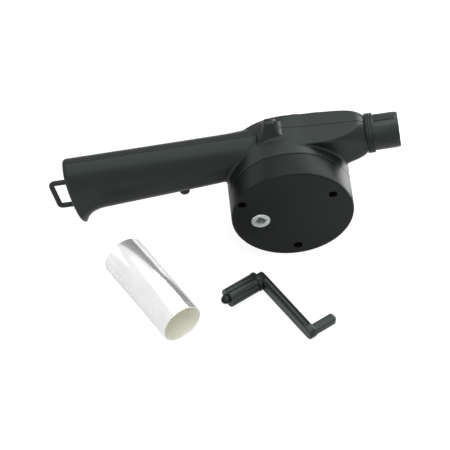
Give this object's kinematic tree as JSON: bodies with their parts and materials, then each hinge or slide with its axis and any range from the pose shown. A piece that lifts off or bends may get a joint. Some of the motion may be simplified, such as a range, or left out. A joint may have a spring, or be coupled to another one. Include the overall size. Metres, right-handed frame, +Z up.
{
  "type": "manual barbecue blower",
  "caption": "Hand-cranked geared fan in a round plastic case with a moulded grip and hanging loop, a side nozzle, and a loose crank and metal extension tube beside it.",
  "frame": {"origin": "on the table, under the middle of the footprint of the blower, crank and tube", "axes": "+X along the grip towards the nozzle, +Y away from the gear cover towards the case back, +Z up from the table"},
  "size_m": [0.2706, 0.1516, 0.1038],
  "materials": {
    "black_plastic": "moulded black plastic with a soft sheen",
    "cast_zinc": "bare grey die cast metal",
    "steel": "bright zinc plated steel",
    "black_steel": "blackened steel",
    "brass": "turned brass",
    "nylon": "natural nylon",
    "bronze": "sintered bronze",
    "aluminium": "polished"
  },
  "bodies": {
    "housing": {"front_shell": "black_plastic", "back_shell": "black_plastic", "gear_cover": "black_plastic", "gear_plate": "black_plastic", "intake_grille": "black_plastic", "nozzle_ring": "black_plastic", "hanging_loop": "black_plastic", "cover_screw_1": "steel", "cover_screw_2": "steel", "cover_screw_3": "steel", "shell_screw_1": "steel", "shell_screw_2": "steel", "shell_screw_3": "steel", "shell_screw_4": "steel", "front_shaft_bush": "bronze", "rear_shaft_bush": "bronze", "cluster_axle": "steel"},
    "drive": {"drive_hub": "cast_zinc", "drive_gear": "nylon", "hub_clip": "steel"},
    "cluster": {"cluster_gear": "nylon"},
    "fan": {"fan_pinion": "brass", "fan_shaft": "steel", "impeller": "black_plastic", "impeller_nut": "steel"},
    "crank": {"crank_arm": "black_plastic", "knob_pin": "black_steel"},
    "knob": {"crank_knob": "black_plastic"},
    "tube": {"extension_tube": "aluminium"}
  },
  "joints": [
    {"name": "drive_spin", "type": "hinge", "parent": "housing", "child": "drive", "pos_m": [0.02368, 0.02413, 0.04119], "axis": [0, 1, 0], "continuous": true},
    {"name": "cluster_spin", "type": "hinge", "parent": "housing", "child": "cluster", "pos_m": [0.04103, 0.02413, 0.02833], "axis": [0, 1, 0], "continuous": true},
    {"name": "fan_spin", "type": "hinge", "parent": "housing", "child": "fan", "pos_m": [0.04819, 0.03913, 0.047], "axis": [0, 1, 0], "continuous": true},
    {"name": "crank_lift", "type": "slide", "parent": "housing", "child": "crank", "axis": [0, 0, 1], "range_m": [0, 0.08]},
    {"name": "knob_spin", "type": "hinge", "parent": "crank", "child": "knob", "pos_m": [0.02139, -0.01707, 0.0078], "axis": [0.8526, 0.5225, 0], "continuous": true},
    {"name": "tube_lift", "type": "slide", "parent": "housing", "child": "tube", "axis": [0, 0, 1], "range_m": [0, 0.08]}
  ],
  "couplings": [
    {"joint": "cluster_spin", "follows": "drive_spin", "ratio": -3.5},
    {"joint": "fan_spin", "follows": "drive_spin", "ratio": 14}
  ]
}
